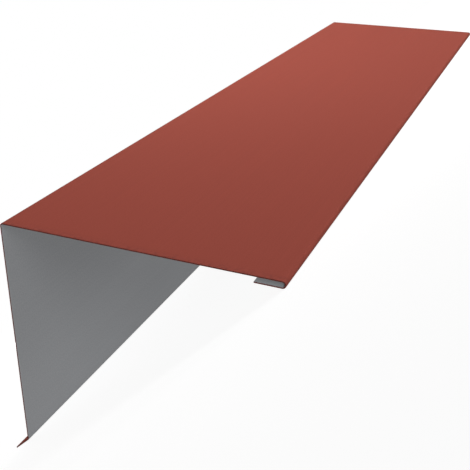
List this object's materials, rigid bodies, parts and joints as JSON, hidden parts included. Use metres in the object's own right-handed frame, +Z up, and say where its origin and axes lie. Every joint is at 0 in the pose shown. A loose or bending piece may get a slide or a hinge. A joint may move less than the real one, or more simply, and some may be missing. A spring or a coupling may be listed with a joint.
{
  "type": "roof ridge cap",
  "caption": "Right-angled ridge cap of folded coated steel sheet: a hemmed flange lies on the roof and a leg with a kicked-out drip edge covers the wall head.",
  "frame": {"origin": "middle of the cap's outline box, on the floor it lies on", "axes": "+Y along the cap's length and +Z up. The cap lies as it comes to rest, fold up: the flange slopes down towards +X and the leg towards -X, with the hem and the kick's tip on the floor."},
  "size_m": [0.2146, 0.6, 0.1017],
  "materials": {
    "coated_sheet": "satin"
  },
  "bodies": {
    "root": {"cap_sheet": "coated_sheet"}
  },
  "joints": []
}
